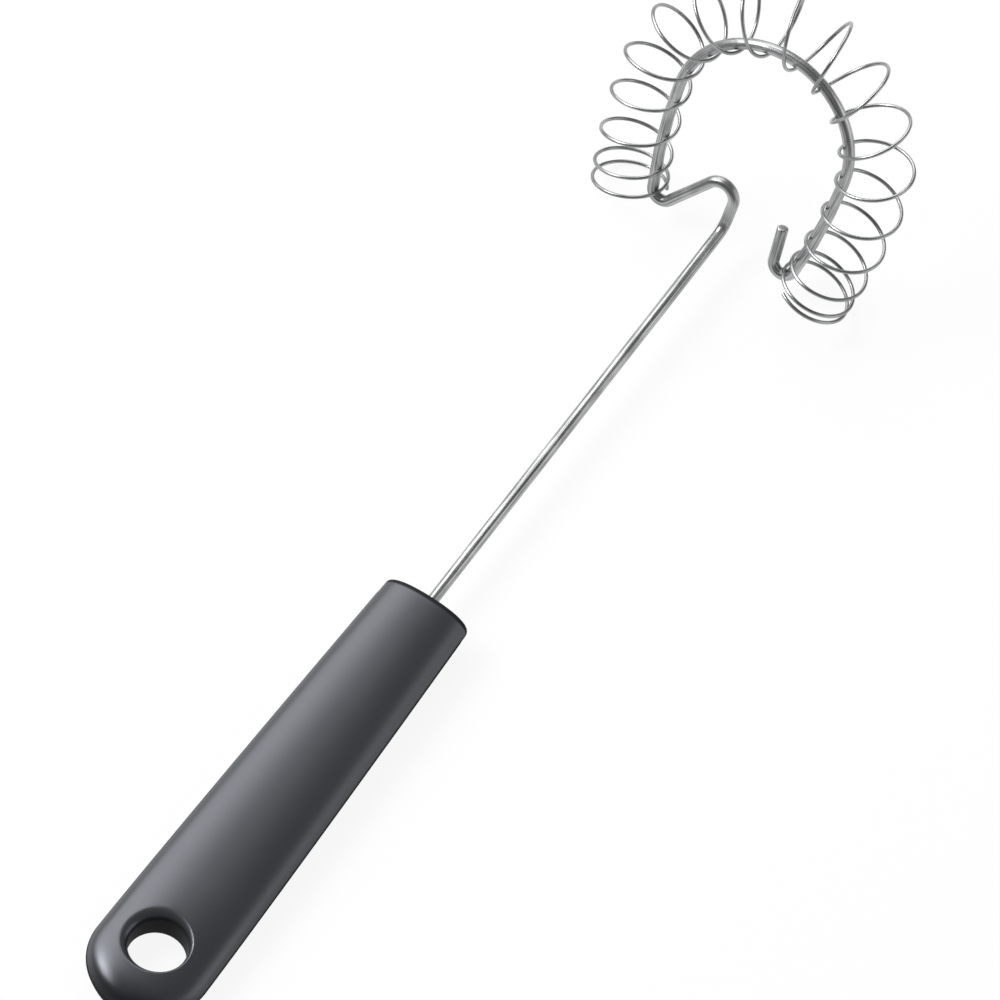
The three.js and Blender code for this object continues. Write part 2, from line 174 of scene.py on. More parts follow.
butt_end = MOUTH_X - stations[-1] * shorter
select_in_edit(handle, "VERT", lambda vertex: on_mould_line(vertex) and vertex.co.x < butt_end + NEAR)
bpy.ops.mesh.vert_connect()
select_in_edit(handle, "EDGE", lambda edge: all(on_mould_line(vertex) for vertex in edge.verts))
bpy.ops.mesh.bevel(
    offset=WITNESS_HALF_WIDTH, segments=WITNESS_SEGMENTS, profile=ROUND_PROFILE, affect="EDGES"
)
select_in_edit(handle, "VERT", on_mould_line)
bpy.ops.transform.shrink_fatten(value=WITNESS_HEIGHT)
bpy.ops.mesh.select_all(action="SELECT")
bpy.ops.mesh.bisect(
    plane_co=(0, 0, 0), plane_no=(0, 0, -1), use_fill=True, clear_outer=True, threshold=CUT_THRESHOLD
)
bpy.ops.object.mode_set(mode="OBJECT")

# The hang hole: a round bore through the butt, cut out with a plug of its own shape. Its two rims are
# rolled over, end in a tighter edge and follow the faces that they open in. The top rim is set a little
# forward and to the left, so its roll is wider there.
HANG_HOLE_DIAMETER = 12.4 * MM
HANG_HOLE_FROM_BUTT = 15.6 * MM
RIM_ROLL_RADIUS = 2.3 * MM
RIM_EDGE_RADIUS = 1.1 * MM
HOLE_X = BUTT_X + HANG_HOLE_FROM_BUTT
HOLE_SIDES = 128
ROLL_STEPS = 9
EDGE_STEPS = 4
ROLL_END = math.radians(62)
RIM_END = math.radians(82)
RIM_RUN_OUT = 0.6 * MM
TOP_RIM_SHIFT = Vector((0.3 * MM, 0.7 * MM))
PLUG_REACH = 3 * MM


def top_and_under(x, y):
    """Heights of the handle's top face and of its underside at a place."""
    half_width, top_depth, under_depth, mould_line = handle_section(MOUTH_X - x)
    share = min(abs(y) / half_width, 1)
    bulge = (1 - share ** SECTION_POWER) ** (1 / SECTION_POWER)
    return mould_line + top_depth * bulge, max(mould_line - under_depth * bulge, 0)


hole_radius = HANG_HOLE_DIAMETER / 2
roll_start = -RIM_EDGE_RADIUS - (RIM_ROLL_RADIUS - RIM_EDGE_RADIUS) * math.sin(ROLL_END)
rim_profile = []
for step in range(ROLL_STEPS + 1):
    angle = ROLL_END * step / ROLL_STEPS
    radius = hole_radius + RIM_ROLL_RADIUS * (1 - math.cos(angle))
    rim_profile.append((radius, roll_start + RIM_ROLL_RADIUS * math.sin(angle)))
edge_centre = rim_profile[-1][0] + RIM_EDGE_RADIUS * math.cos(ROLL_END)
for step in range(1, EDGE_STEPS + 1):
    angle = between(ROLL_END, RIM_END, step / EDGE_STEPS)
    radius = edge_centre - RIM_EDGE_RADIUS * math.cos(angle)
    rim_profile.append((radius, RIM_EDGE_RADIUS * (math.sin(angle) - 1)))
end_radius, end_height = rim_profile[-1]
rim_profile.append((end_radius + RIM_RUN_OUT, end_height + RIM_RUN_OUT / math.tan(RIM_END)))
rim_profile.append((end_radius + RIM_RUN_OUT, PLUG_REACH))
plug_rings = [(radius, -height, 1) for radius, height in reversed(rim_profile)]
plug_rings += [(radius, height, 0) for radius, height in rim_profile]

bpy.ops.object.select_all(action="DESELECT")
bpy.ops.mesh.primitive_circle_add(
    vertices=HOLE_SIDES, radius=plug_rings[0][0], fill_type="NGON", location=(HOLE_X, 0, 0)
)
plug = name_piece("hole_plug")
bpy.ops.object.transform_apply(location=True, rotation=True, scale=True)
bpy.ops.object.mode_set(mode="EDIT")
bpy.ops.mesh.select_all(action="SELECT")
# The rings are drawn out evenly, and take their heights from the handle's faces afterwards
for (radius, _, _), (next_radius, _, _) in zip(plug_rings, plug_rings[1:]):
    bpy.ops.mesh.extrude_region_move(TRANSFORM_OT_translate={"value": (0, 0, MM)})
    grow = next_radius / radius
    bpy.ops.transform.resize(value=(grow, grow, 1), center_override=(HOLE_X, 0, 0))
bpy.ops.object.mode_set(mode="OBJECT")
for vertex in plug.data.vertices:
    radius, height, face = plug_rings[vertex.index // HOLE_SIDES]
    if face == 0:
        vertex.co.xy += TOP_RIM_SHIFT * (radius - hole_radius) / (end_radius - hole_radius)
    vertex.co.z = top_and_under(vertex.co.x, vertex.co.y)[face] + height
bpy.ops.object.mode_set(mode="EDIT")
bpy.ops.mesh.select_all(action="SELECT")
bpy.ops.mesh.normals_make_consistent(inside=False)
bpy.ops.object.mode_set(mode="OBJECT")


def cut_away(piece, tool):
    """Cuts a tool's shape out of a piece with a Boolean, and removes the tool."""
    bpy.ops.object.select_all(action="DESELECT")
    bpy.context.view_layer.objects.active = piece
    cut = piece.modifiers.new("cut", "BOOLEAN")
    cut.operation = "DIFFERENCE"
    cut.solver = "EXACT"
    cut.object = tool
    bpy.ops.object.modifier_apply(modifier=cut.name)
    bpy.data.objects.remove(tool)


cut_away(handle, plug)

# The shut-off ring: where the mould closed on the wire, it leaves a shallow round sink in the handle's
# mouth. It is cut in line with the stem and is a little wider than the wire.
WIRE_DIAMETER = 2.5 * MM
WIRE_RADIUS = WIRE_DIAMETER / 2
STEM_HEIGHT = MOUTH_UNDER_DEPTH - LAND_CUT
SINK_MARGIN = 0.3 * MM
SINK_DEPTH = 0.7 * MM
SINK_SIDES = 48
HANDLE_SMOOTHING = math.radians(34)
stem_rise = math.atan2(MOUTH_UNDER_DEPTH - BUTT_UNDER_DEPTH, HANDLE_LENGTH - BUTT_RADIUS)
along_stem = Vector((math.cos(stem_rise), 0, math.sin(stem_rise)))
above_stem = Vector((-math.sin(stem_rise), 0, math.cos(stem_rise)))
mouth_centre = Vector((MOUTH_X, 0, STEM_HEIGHT))
across_stem = (0, math.pi / 2 - stem_rise, 0)
bpy.ops.object.select_all(action="DESELECT")
bpy.ops.mesh.primitive_cylinder_add(
    vertices=SINK_SIDES,
    radius=WIRE_RADIUS + SINK_MARGIN,
    depth=2 * SINK_DEPTH,
    location=mouth_centre,
    rotation=across_stem,
)
sink = name_piece("wire_sink")
bpy.ops.object.transform_apply(location=True, rotation=True, scale=True)
cut_away(handle, sink)
bpy.ops.object.select_all(action="DESELECT")
handle.select_set(True)
bpy.ops.object.shade_smooth_by_angle(angle=HANDLE_SMOOTHING)


# The handle's skin: satin charcoal plastic, with a fine grain from the mould and a slow unevenness in its
# gloss, a little glossier over the butt. The half under the mould line, the mouth's edge, the wall of the
# hang hole and the butt's very tip get painted shade: a darker, less glossy copy of the skin.
class Signal:
    """A shader socket. Arithmetic on it adds Math nodes, and node() adds any other kind."""

    def __init__(self, tree, socket=None):
        self.tree = tree
        self.socket = socket

    def node(self, kind, settings, inputs, output=0):
        made = self.tree.nodes.new(kind)
        for key, value in settings.items():
            if key == "stops":
                ramp = made.color_ramp.elements
                while len(ramp) < len(value):
                    ramp.new(1)
                for stop, (position, shade) in zip(ramp, value):
                    stop.position = position
                    stop.color = (shade, shade, shade, 1)
            else:
                setattr(made, key, value)
        for key, value in inputs.items():
            if isinstance(value, Signal):
                self.tree.links.new(value.socket, made.inputs[key])
            else:
                made.inputs[key].default_value = value
        return Signal(self.tree, made.outputs[output] if made.outputs else None)

    def math(self, operation, first, second):
        return self.node("ShaderNodeMath", {"operation": operation}, {0: first, 1: second})

    def __add__(self, other):
        return self.math("ADD", self, other)

    def __sub__(self, other):
        return self.math("SUBTRACT", self, other)

    def __rsub__(self, other):
        return self.math("SUBTRACT", other, self)

    def __mul__(self, other):
        return self.math("MULTIPLY", self, other)

    __radd__ = __add__
    __rmul__ = __mul__


def new_material(name):
    """A material with an empty node tree, and a signal to start its nodes from."""
    material = bpy.data.materials.new(name)
    material.use_nodes = True
    material.node_tree.nodes.clear()
    return material, Signal(material.node_tree)


def mix_colours(start, factor, first, second):
    """Mixes two colours, which are inputs 6 and 7 of a Mix node. The mixed one is its output 2."""
    return start.node(
        "ShaderNodeMix",
        {"data_type": "RGBA", "blend_type": "MIX"},
        {0: factor, 6: first, 7: second},
        output=2,
    )


def fade(start, value, low, high):
    """Nothing below low, all above high, and smooth between."""
    return start.node(
        "ShaderNodeMapRange",
        {"interpolation_type": "SMOOTHSTEP"},
        {"Value": value, "From Min": low, "From Max": high},
    )


CHARCOAL = (0.018, 0.0192, 0.0225, 1)
CHARCOAL_PALE = (0.023, 0.0243, 0.028, 1)
# Painted shade: the charcoal of the darker, less glossy copy of the skin.
PAINTED_SHADE_CHARCOAL = (0.016, 0.0168, 0.019, 1)
COOL_GLOSS = (0.875, 0.91, 1.0, 1)
BORE_FADE = 0.6 * MM
PAINTED_SHADE_RISE = 2.0 * MM
TIP_FADE = 7.0 * MM
MOUTH_SHADE_START = 1.8 * MOUTH_EDGE_RADIUS
MOUTH_SHADE_END = 1.2 * MOUTH_EDGE_RADIUS
GLOSSY_LENGTH = 20 * MM
GLOSSY_FADE = 15 * MM
GRAIN_SCALE = 3200
GRAIN_DETAIL = 2.0
GRAIN_BREAK_UP = 0.6
GRAIN_STRENGTH = 0.5
GRAIN_DEPTH = 0.006 * MM
CLOUD_SCALE = 55.0
CLOUD_DETAIL = 3.0
BUTT_ROUGHNESS = 0.28
CLOUD_ROUGHNESS = 0.08
BODY_ROUGHNESS = 0.07
SATIN_IOR = 1.5
SATIN_SPECULAR = 0.98
PAINTED_SHADE_ROUGHNESS = 0.65
PAINTED_SHADE_SPECULAR = 0.1
plastic, start = new_material("satin_charcoal_plastic")
place = start.node("ShaderNodeTexCoord", {}, {}, output="Object")
grain = start.node(
    "ShaderNodeTexNoise",
    {},
    {"Vector": place, "Scale": GRAIN_SCALE, "Detail": GRAIN_DETAIL, "Roughness": GRAIN_BREAK_UP},
)
cloud = start.node(
    "ShaderNodeTexNoise", {}, {"Vector": place, "Scale": CLOUD_SCALE, "Detail": CLOUD_DETAIL}
)
colour = mix_colours(start, cloud, CHARCOAL, CHARCOAL_PALE)
bump = start.node(
    "ShaderNodeBump", {}, {"Height": grain, "Strength": GRAIN_STRENGTH, "Distance": GRAIN_DEPTH}
)
along = start.node("ShaderNodeSeparateXYZ", {}, {"Vector": place}, output="X")
off_the_butt = fade(start, along, BUTT_X + GLOSSY_LENGTH, BUTT_X + GLOSSY_LENGTH + GLOSSY_FADE)
skin = start.node(
    "ShaderNodeBsdfPrincipled",
    {},
    {
        "Base Color": colour,
        "Roughness": BUTT_ROUGHNESS + CLOUD_ROUGHNESS * cloud + BODY_ROUGHNESS * off_the_butt,
        "Normal": bump,
        "IOR": SATIN_IOR,
        "Specular IOR Level": SATIN_SPECULAR,
        "Specular Tint": COOL_GLOSS,
    },
)
# Painted shade: a darker, less glossy copy of the skin.
painted_shade_skin = start.node(
    "ShaderNodeBsdfPrincipled",
    {},
    {
        "Base Color": PAINTED_SHADE_CHARCOAL,
        "Roughness": PAINTED_SHADE_ROUGHNESS,
        "Specular IOR Level": PAINTED_SHADE_SPECULAR,
        "Normal": bump,
    },
)
from_hole = start.node(
    "ShaderNodeVectorMath", {"operation": "MULTIPLY_ADD"}, {0: place, 1: (1, 1, 0), 2: (-HOLE_X, 0, 0)}
)
out_from_axis = start.node(
    "ShaderNodeVectorMath", {"operation": "LENGTH"}, {0: from_hole}, output="Value"
)
# Painted shade on the wall of the hang hole.
outside_bore = fade(start, out_from_axis, hole_radius, hole_radius + BORE_FADE)
upward = start.node("ShaderNodeSeparateXYZ", {}, {"Vector": place}, output="Z")
line_height = start.node(
    "ShaderNodeMapRange",
    {},
    {
        "Value": along,
        "From Min": MOUTH_X - butt_start,
        "From Max": MOUTH_X,
        "To Min": BUTT_UNDER_DEPTH - LAND_CUT,
        "To Max": MOUTH_UNDER_DEPTH - LAND_CUT,
    },
)
# Painted shade on the half under the mould line.
above_line = fade(start, upward - line_height, -WITNESS_HALF_WIDTH, PAINTED_SHADE_RISE)
# Painted shade along the mouth's edge.
at_mouth_edge = fade(start, along, MOUTH_X - MOUTH_SHADE_START, MOUTH_X - MOUTH_SHADE_END)
# Painted shade on the butt's very tip.
off_the_tip = fade(start, along, BUTT_X, BUTT_X + TIP_FADE)
# The satin skin's share; the painted shade takes the rest.
unshaded_share = outside_bore * above_line * off_the_tip * (1 - at_mouth_edge)
whole_skin = start.node("ShaderNodeMixShader", {}, {0: unshaded_share, 1: painted_shade_skin, 2: skin})
start.node("ShaderNodeOutputMaterial", {}, {"Surface": whole_skin})
handle.data.materials.clear()
handle.data.materials.append(plastic)
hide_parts("handle")
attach(handle, "handle_and_wire")

# The wire frame: one length of polished steel wire. It starts as a flattened spade inside the handle,
# runs out as the stem and is bent cold, bend after bend, into the fold, hairpin, foot, bow and hook.
TANG_LENGTH = 62 * MM
SPADE_LENGTH = 9 * MM
SPADE_NECK_LENGTH = 4 * MM
SPADE_WIDTH = 4.4 * MM
SPADE_THICKNESS = 1.3 * MM
STEM_LENGTH = 110.9 * MM
FOLD_ANGLE = math.radians(64.8)
FOLD_RADIUS = 4 * MM
HAIRPIN_RADIUS = 3.45 * MM
HAIRPIN_HEIGHT = 6.6 * MM
FOOT_RADIUS = 2.45 * MM
LEG_RADIUS = 126.4 * MM
LEG_END_HEIGHT = -0.25 * MM
ARCH_RADIUS = 20.4 * MM
ARCH_HEIGHT = 26.65 * MM
HOOK_LEAN = math.radians(5)
HOOK_LENGTH = 8.3 * MM
WIRE_SIDES = 32
BEND_STEP = math.radians(5)
LEAST_BEND_STEPS = 3
TIP_BEVEL = 0.3 * MM
TIP_SEGMENTS = 3
WIRE_SMOOTHING = math.radians(40)

fold_point = mouth_centre + along_stem * STEM_LENGTH
across_head = Vector((0, 1, 0))
head_angle = stem_rise + FOLD_ANGLE
rise = Vector((math.cos(head_angle), 0, math.sin(head_angle)))
face = Vector((-math.sin(head_angle), 0, math.cos(head_angle)))


def in_head(y, height, lift=0):
    """A place in the head: its plane starts at the fold, climbs along rise and faces along face."""
    return fold_point + across_head * y + rise * height + face * lift


leg_angle = math.asin((ARCH_HEIGHT - LEG_END_HEIGHT) / LEG_RADIUS)
foot_y = ARCH_RADIUS - LEG_RADIUS + (LEG_RADIUS - FOOT_RADIUS) * math.cos(leg_angle)
foot_height = ARCH_HEIGHT - (LEG_RADIUS - FOOT_RADIUS) * math.sin(leg_angle)
to_foot = Vector((foot_y - HAIRPIN_RADIUS, foot_height - HAIRPIN_HEIGHT))
both_radii = HAIRPIN_RADIUS + FOOT_RADIUS
run_heading = math.atan2(to_foot.y, to_foot.x) - math.asin(both_radii / to_foot.length)
run_length = math.sqrt(to_foot.length ** 2 - both_radii ** 2)
fold_tangent = FOLD_RADIUS * math.tan(FOLD_ANGLE / 2)
bend_axis = across_head.cross(rise)


def draw_wire(direction, length):
    bpy.ops.mesh.extrude_region_move(TRANSFORM_OT_translate={"value": direction * length})


def bend_wire(centre, axis, angle):
    """Bends the wire right-handed about an axis. The spin tool itself turns the other way."""
    steps = max(math.ceil(abs(angle) / BEND_STEP), LEAST_BEND_STEPS)
    bpy.ops.mesh.spin(steps=steps, angle=-angle, center=centre, axis=axis)


spade_start = mouth_centre - along_stem * TANG_LENGTH
bpy.ops.object.select_all(action="DESELECT")
bpy.ops.mesh.primitive_circle_add(
    vertices=WIRE_SIDES,
    radius=WIRE_RADIUS,
    fill_type="NGON",
    location=spade_start,
    rotation=across_stem,
)
wire = name_piece("bent_wire")
bpy.ops.object.transform_apply(location=True, rotation=True, scale=True)
bpy.ops.object.mode_set(mode="EDIT")
bpy.ops.mesh.select_all(action="SELECT")
flattened = Vector((1, SPADE_WIDTH / WIRE_DIAMETER, SPADE_THICKNESS / WIRE_DIAMETER))
bpy.ops.transform.resize(value=flattened, center_override=spade_start)
draw_wire(along_stem, SPADE_LENGTH)
draw_wire(along_stem, SPADE_NECK_LENGTH)
round_again = Vector((1, 1 / flattened.y, 1 / flattened.z))
neck_end = spade_start + along_stem * (SPADE_LENGTH + SPADE_NECK_LENGTH)
bpy.ops.transform.resize(value=round_again, center_override=neck_end)
draw_wire(along_stem, TANG_LENGTH - SPADE_LENGTH - SPADE_NECK_LENGTH)
draw_wire(along_stem, STEM_LENGTH - fold_tangent)
bend_wire(fold_point - along_stem * fold_tangent + above_stem * FOLD_RADIUS, -across_head, FOLD_ANGLE)
draw_wire(rise, HAIRPIN_HEIGHT - fold_tangent)
bend_wire(in_head(HAIRPIN_RADIUS, HAIRPIN_HEIGHT), bend_axis, -(math.pi / 2 - run_heading))
draw_wire(across_head * math.cos(run_heading) + rise * math.sin(run_heading), run_length)
bend_wire(in_head(foot_y, foot_height), bend_axis, math.pi / 2 - leg_angle - run_heading)
bend_wire(in_head(ARCH_RADIUS - LEG_RADIUS, ARCH_HEIGHT), bend_axis, leg_angle)
bend_wire(in_head(0, ARCH_HEIGHT), bend_axis, math.pi)
bend_wire(in_head(LEG_RADIUS - ARCH_RADIUS, ARCH_HEIGHT), bend_axis, leg_angle)
hook_turn = math.pi - leg_angle - HOOK_LEAN
bend_wire(in_head(-foot_y, foot_height), bend_axis, hook_turn)
hook_heading = math.pi / 2 - HOOK_LEAN
draw_wire(across_head * math.cos(hook_heading) + rise * math.sin(hook_heading), HOOK_LENGTH)
bpy.ops.object.mode_set(mode="OBJECT")


def lay_wire_map(piece, sides, diameter):
    """A UV map whose first number runs along the wire, in girths, and whose second goes round it."""
    points = [vertex.co for vertex in piece.data.vertices]
    lengths = [0]
    last_centre = None
    for first in range(0, len(points), sides):
        centre = sum(points[first:first + sides], Vector()) / sides
        if last_centre:
            lengths.append(lengths[-1] + (centre - last_centre).length / (math.pi * diameter))
        last_centre = centre
    layer = piece.data.uv_layers.new(name="wire")
    for polygon in piece.data.polygons:
        places = [(index, piece.data.loops[index].vertex_index) for index in polygon.loop_indices]
        wraps = any(vertex % sides == sides - 1 for _, vertex in places)
        for index, vertex in places:
            round_share = vertex % sides / sides
            if wraps and round_share == 0:
                round_share = 1
            layer.data[index].uv = (lengths[vertex // sides], round_share)


lay_wire_map(wire, WIRE_SIDES, WIRE_DIAMETER)
bpy.ops.object.mode_set(mode="EDIT")
bpy.ops.mesh.bevel(offset=TIP_BEVEL, segments=TIP_SEGMENTS, profile=ROUND_PROFILE, affect="EDGES")
bpy.ops.mesh.select_all(action="SELECT")
bpy.ops.mesh.normals_make_consistent(inside=False)
bpy.ops.object.mode_set(mode="OBJECT")
bpy.ops.object.select_all(action="DESELECT")
wire.select_set(True)
bpy.ops.object.shade_smooth_by_angle(angle=WIRE_SMOOTHING)


# Dark streaks along the wire: part die lines, part painted reflection.
DIE_LINE_AND_REFLECTION_TONE = 0.42
DIE_LINE_AND_REFLECTION_STRETCH = (0.35, 22, 1)
DIE_LINE_AND_REFLECTION_DETAIL = 3.0
DIE_LINE_AND_REFLECTION_BREAK_UP = 0.6
DIE_LINE_AND_REFLECTION_SHARE = 0.75
DIE_LINE_STRENGTH = 0.4
STREAK_LOW = 0.4
STREAK_HIGH = 0.6
POLISH_SCALE = 160.0
POLISH_DETAIL = 2.0
ROUGHNESS_SWING = 0.08
FRAME_TONE = (0.52, 0.525, 0.53)
FRAME_ROUGHNESS = 0.35
FRAME_LINE_DEPTH = 0.004 * MM


def polished_steel(name, tone, roughness, line_depth):
    """Bright drawn wire with dark streaks along it, part die lines, part painted reflection; polish a bit
    uneven.
    """
    material, start = new_material(name)
    wire_map = start.node("ShaderNodeUVMap", {"uv_map": "wire"}, {})
    stretched = start.node("ShaderNodeMapping", {}, {"Vector": wire_map, "Scale": DIE_LINE_AND_REFLECTION_STRETCH})
    die_lines_and_reflections = start.node(
        "ShaderNodeTexNoise",
        {},
        {"Vector": stretched, "Scale": 1.0, "Detail": DIE_LINE_AND_REFLECTION_DETAIL, "Roughness": DIE_LINE_AND_REFLECTION_BREAK_UP},
    )
    place = start.node("ShaderNodeTexCoord", {}, {}, output="Object")
    cloud = start.node(
        "ShaderNodeTexNoise", {}, {"Vector": place, "Scale": POLISH_SCALE, "Detail": POLISH_DETAIL}
    )
    # The dark streaks' tone: part die lines, part painted reflection.
    dark_line_and_reflection = tuple(DIE_LINE_AND_REFLECTION_TONE * part for part in tone)
    uneven = DIE_LINE_AND_REFLECTION_SHARE * die_lines_and_reflections + (1 - DIE_LINE_AND_REFLECTION_SHARE) * cloud
    line_and_reflection_streaks = fade(start, uneven, STREAK_LOW, STREAK_HIGH)
    colour = mix_colours(start, line_and_reflection_streaks, (*dark_line_and_reflection, 1), (*tone, 1))
    bump = start.node(
        "ShaderNodeBump", {}, {"Height": die_lines_and_reflections, "Strength": DIE_LINE_STRENGTH, "Distance": line_depth}
    )
    steel = start.node(
        "ShaderNodeBsdfPrincipled",
        {},
        {
            "Base Color": colour,
            "Metallic": 1.0,
            "Roughness": roughness - ROUGHNESS_SWING / 2 + ROUGHNESS_SWING * die_lines_and_reflections,
            "Normal": bump,
        },
    )
    start.node("ShaderNodeOutputMaterial", {}, {"Surface": steel})
    return material


frame_steel = polished_steel("polished_wire_steel", FRAME_TONE, FRAME_ROUGHNESS, FRAME_LINE_DEPTH)
wire.data.materials.append(frame_steel)
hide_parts("wire_frame")
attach(wire, "handle_and_wire")

# The coil: one length of thin spring wire wound on a mandrel in even turns that close up at both ends.
# It is threaded on the bow and springs outwards, so the bow lies near the inner side of its turns.
COIL_WIRE_DIAMETER = 0.8 * MM
COIL_MEAN_RADIUS = 8 * MM
COIL_TURNS = 17.78
COIL_START_TURN = 0.56
COIL_AXIS_OFFSET = 5.94 * MM
COIL_FOOT_PITCH = 1.6 * MM
COIL_FOOT_EASE_TURNS = 2.91
COIL_FOOT_OVERRUN = 2.24 * MM
COIL_HOOK_PITCH = 1 * MM
COIL_HOOK_EASE_TURNS = 3.6
COIL_HOOK_OVERRUN = 1.65 * MM
COIL_CLEARANCE = 0.3 * MM
COIL_STEPS_PER_TURN = 72
COIL_ROUNDNESS = 3
COIL_TRIM = 0.11 * MM
COIL_SMOOTHING = math.radians(50)
SPRING_TONE = (0.48, 0.485, 0.49)
SPRING_ROUGHNESS = 0.28
SPRING_LINE_DEPTH = 0.002 * MM

bore_reach = COIL_MEAN_RADIUS - COIL_WIRE_DIAMETER / 2 - WIRE_RADIUS - COIL_CLEARANCE
coil_drop = math.sqrt(bore_reach ** 2 - COIL_AXIS_OFFSET ** 2)
coil_leg_length = (LEG_RADIUS + COIL_AXIS_OFFSET) * leg_angle
coil_arch_length = (ARCH_RADIUS + COIL_AXIS_OFFSET) * math.pi
coil_length = 2 * coil_leg_length + coil_arch_length + COIL_FOOT_OVERRUN + COIL_HOOK_OVERRUN
closed_length = (COIL_FOOT_PITCH * COIL_FOOT_EASE_TURNS + COIL_HOOK_PITCH * COIL_HOOK_EASE_TURNS) / 2
open_turns = COIL_TURNS - (COIL_FOOT_EASE_TURNS + COIL_HOOK_EASE_TURNS) / 2
coil_open_pitch = (coil_length - closed_length) / open_turns


def length_from_end(turns, end_pitch, ease_turns):
    """Length along the coil's axis after some turns from an end, whose pitch eases to the open one."""
    eased = min(turns / ease_turns, 1)
    eased_turns = ease_turns * (eased ** 3 - eased ** 4 / 2) + max(turns - ease_turns, 0)
    return end_pitch * turns + (coil_open_pitch - end_pitch) * eased_turns


def coil_point(turns):
    """A place on the coil's wire after some turns from the foot, trimmed to stay inside the solid."""
    length = length_from_end(turns, COIL_FOOT_PITCH, COIL_FOOT_EASE_TURNS)
    if turns > COIL_TURNS / 2:
        length = coil_length - length_from_end(COIL_TURNS - turns, COIL_HOOK_PITCH, COIL_HOOK_EASE_TURNS)
    length -= COIL_FOOT_OVERRUN
    angle = length / (LEG_RADIUS + COIL_AXIS_OFFSET) - leg_angle
    centre_y, radius = ARCH_RADIUS - LEG_RADIUS, LEG_RADIUS
    past_arch = length - coil_leg_length - coil_arch_length
    if past_arch > 0:
        angle = math.pi + past_arch / (LEG_RADIUS + COIL_AXIS_OFFSET)
        centre_y = LEG_RADIUS - ARCH_RADIUS
    elif length > coil_leg_length:
        angle = (length - coil_leg_length) / (ARCH_RADIUS + COIL_AXIS_OFFSET)
        centre_y, radius = 0, ARCH_RADIUS
    wound = 2 * math.pi * (turns + COIL_START_TURN)
    drawn_radius = COIL_MEAN_RADIUS - COIL_TRIM
    reach = radius + COIL_AXIS_OFFSET + drawn_radius * math.cos(wound)
    return in_head(
        centre_y + reach * math.cos(angle),
        ARCH_HEIGHT + reach * math.sin(angle),
        drawn_radius * math.sin(wound) - coil_drop,
    )


coil_steps = round(COIL_TURNS * COIL_STEPS_PER_TURN)
path = bpy.data.curves.new("spring_coil", "CURVE")
path.dimensions = "3D"
path.bevel_depth = COIL_WIRE_DIAMETER / 2
path.bevel_resolution = COIL_ROUNDNESS
path.use_fill_caps = True
spline = path.splines.new("POLY")
spline.points.add(coil_steps)
for step, point in enumerate(spline.points):
    point.co = (*coil_point(COIL_TURNS * step / coil_steps), 1)
coil = bpy.data.objects.new("spring_coil", path)
bpy.context.scene.collection.objects.link(coil)
bpy.ops.object.select_all(action="DESELECT")
bpy.context.view_layer.objects.active = coil
coil.select_set(True)
bpy.ops.object.convert(target="MESH")
coil = name_piece("spring_coil")
girths = COIL_TURNS * 2 * COIL_MEAN_RADIUS / COIL_WIRE_DIAMETER
wire_map = coil.data.uv_layers[0]
wire_map.name = "wire"
for loop_place in wire_map.data:
    loop_place.uv.x *= girths
bpy.ops.object.mode_set(mode="EDIT")
bpy.ops.mesh.select_all(action="SELECT")
bpy.ops.mesh.remove_doubles(threshold=CUT_THRESHOLD)
bpy.ops.mesh.normals_make_consistent(inside=False)
bpy.ops.object.mode_set(mode="OBJECT")
bpy.ops.object.shade_smooth_by_angle(angle=COIL_SMOOTHING)
spring_steel = polished_steel("bright_spring_steel", SPRING_TONE, SPRING_ROUGHNESS, SPRING_LINE_DEPTH)
coil.data.materials.append(spring_steel)
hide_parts("whisk_coil")
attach(coil, "coil")


# The studio: a pale floor that keeps the whisk's shadow, a long soft light and a small bright lamp on the
# left, and a weaker soft light on the right, under a dim ceiling, so that the steel has both bright and
# dark to show.
FLOOR_SIZE = 40
FLOOR_COLOUR = (0.9, 0.9, 0.9, 1)
FLOOR_GLOW = 0.9
WHITE = (1, 1, 1, 1)
CEILING = 0.22
HORIZON_STRIP = 0.03
LIGHT_DISTANCE = 1.3
bpy.ops.object.select_all(action="DESELECT")
bpy.ops.mesh.primitive_plane_add(size=FLOOR_SIZE, location=(0, 0, -NEAR))
floor = name_piece("floor")
bpy.ops.object.transform_apply(location=True, rotation=True, scale=True)
white_floor, start = new_material("white_floor")
matt = start.node("ShaderNodeBsdfDiffuse", {}, {"Color": FLOOR_COLOUR})
glow = start.node("ShaderNodeEmission", {}, {"Color": WHITE, "Strength": 1.0})
camera_ray = start.node("ShaderNodeLightPath", {}, {}, output="Is Camera Ray")
glossy_ray = start.node("ShaderNodeLightPath", {}, {}, output="Is Glossy Ray")
clear_ray = start.node("ShaderNodeLightPath", {}, {}, output="Is Transmission Ray")
seen = FLOOR_GLOW * (camera_ray + glossy_ray + clear_ray)
surface = start.node("ShaderNodeMixShader", {}, {0: seen, 1: matt, 2: glow})
start.node("ShaderNodeOutputMaterial", {}, {"Surface": surface})
floor.data.materials.append(white_floor)

world = bpy.data.worlds.new("studio")
bpy.context.scene.world = world
world.use_nodes = True
world.node_tree.nodes.clear()
start = Signal(world.node_tree)
direction = start.node("ShaderNodeTexCoord", {}, {}, output="Generated")
height = start.node("ShaderNodeSeparateXYZ", {}, {"Vector": direction}, output="Z")
sky_stops = [(0, 1), (HORIZON_STRIP, 1), (2 * HORIZON_STRIP, CEILING)]
shade = start.node("ShaderNodeValToRGB", {"stops": sky_stops}, {"Fac": height})
light = start.node("ShaderNodeBackground", {}, {"Color": shade, "Strength": 1.0})
start.node("ShaderNodeOutputWorld", {}, {"Surface": light})


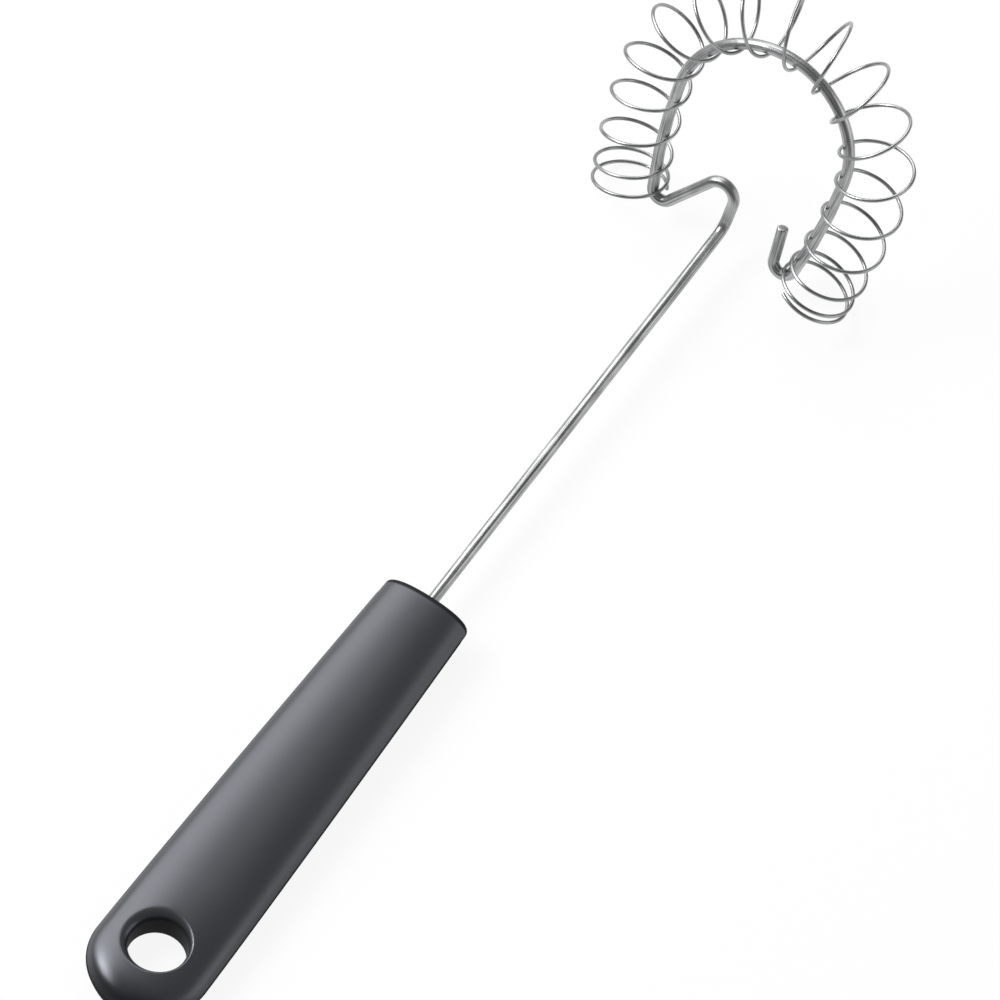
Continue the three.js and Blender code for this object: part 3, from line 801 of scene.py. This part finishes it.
def soft_light(name, direction, width, height, brightness):
    """A soft rectangular light that faces the middle of the whisk. Brightness 1 is a white card."""
    aim = (cad_low + cad_high) / 2
    lamp = bpy.data.lights.new(name, "AREA")
    lamp.shape = "RECTANGLE"
    lamp.size = width
    lamp.size_y = height
    lamp.energy = brightness * math.pi * width * height
    holder = bpy.data.objects.new(name, lamp)
    bpy.context.scene.collection.objects.link(holder)
    toward = Vector(direction).normalized()
    holder.location = aim + toward * LIGHT_DISTANCE
    holder.rotation_euler = toward.to_track_quat("Z", "Y").to_euler()


soft_light("left_softbox", direction=(0.42, 0.69, 0.60), width=1.7, height=1.05, brightness=3.0)
soft_light("left_lamp", direction=(-0.16, 0.70, 0.69), width=0.5, height=0.5, brightness=14)
soft_light("right_softbox", direction=(0.35, -0.85, 0.40), width=1.1, height=0.8, brightness=1.15)

# The camera: a long lens, almost six metres off, above and behind the butt, framed as in the photograph.
# The view's axes are given in the stem's frame, and the fold's pixel sets where the picture is centred.
LENS = 1000
SENSOR_WIDTH = 36
CLIP_FACTOR = 4
VIEW_RIGHT = Vector((0.5534, -0.8300, 0.0694))
VIEW_UP = Vector((0.7077, 0.5126, 0.4862))
PIXELS_PER_METRE = 4800
IMAGE_SIDE = 1000
FOLD_PIXEL = (723.0, 228.6)
camera_data = bpy.data.cameras.new("camera")
camera_data.lens = LENS
camera_data.sensor_width = SENSOR_WIDTH
with_stem = Matrix.Rotation(-stem_rise, 3, "Y")
image_right = with_stem @ VIEW_RIGHT
image_up = with_stem @ VIEW_UP
to_camera = image_right.cross(image_up).normalized()
fold_right = (FOLD_PIXEL[0] - IMAGE_SIDE / 2) / PIXELS_PER_METRE
fold_up = (IMAGE_SIDE / 2 - FOLD_PIXEL[1]) / PIXELS_PER_METRE
centre_of_view = fold_point - image_right * fold_right - image_up * fold_up
distance = LENS / SENSOR_WIDTH * IMAGE_SIDE / PIXELS_PER_METRE
camera = bpy.data.objects.new("camera", camera_data)
bpy.context.scene.collection.objects.link(camera)
turn = Matrix((image_right, image_up, to_camera)).transposed().to_4x4()
camera.matrix_world = Matrix.Translation(centre_of_view + to_camera * distance) @ turn
camera_data.clip_end = CLIP_FACTOR * distance
bpy.context.scene.camera = camera
bpy.context.scene.view_settings.view_transform = "Standard"
